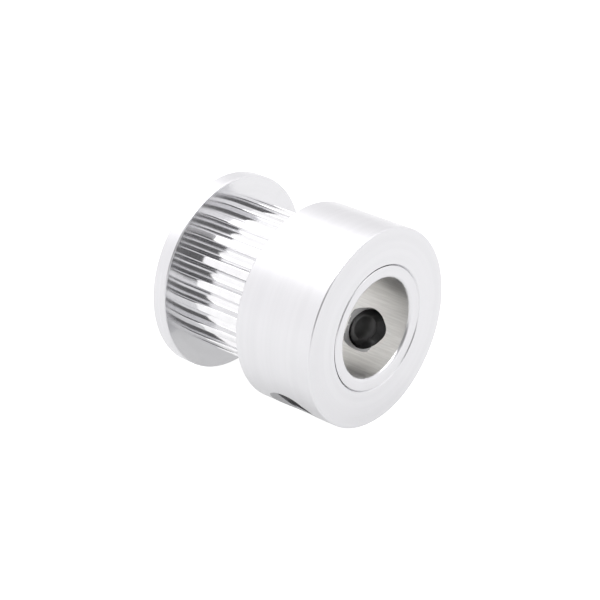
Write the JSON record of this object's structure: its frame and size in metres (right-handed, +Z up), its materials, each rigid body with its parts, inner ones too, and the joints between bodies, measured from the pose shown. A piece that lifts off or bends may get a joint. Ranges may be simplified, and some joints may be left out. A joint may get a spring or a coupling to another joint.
{
  "type": "timing belt pulley",
  "caption": "Aluminium timing belt pulley with a plain hub, an end flange and radial grub screws, for a narrow toothed belt on a round shaft.",
  "frame": {"origin": "on the bore's axis, midway between the hub's face and the flange's face", "axes": "+Y runs along the bore from the hub to the flange, and +Z is up in the pictured view"},
  "size_m": [0.016, 0.016, 0.016],
  "materials": {
    "core_aluminium": "bright machined",
    "hub_aluminium": "satin turned",
    "flange_aluminium": "bright turned",
    "screw_steel": "black oxide"
  },
  "bodies": {
    "pulley": {"toothed_core": "core_aluminium", "hub_collar": "hub_aluminium", "end_flange": "flange_aluminium"},
    "screw_1": {"set_screw_1": "screw_steel"},
    "screw_2": {"set_screw_2": "screw_steel"}
  },
  "joints": [
    {"name": "screw_1_travel", "type": "slide", "parent": "pulley", "child": "screw_1", "axis": [0.7782, 0, -0.628], "range_m": [-0.0007, 0.0028]},
    {"name": "screw_2_travel", "type": "slide", "parent": "pulley", "child": "screw_2", "axis": [-0.7071, 0, -0.7071], "range_m": [-0.0007, 0.0028]}
  ]
}
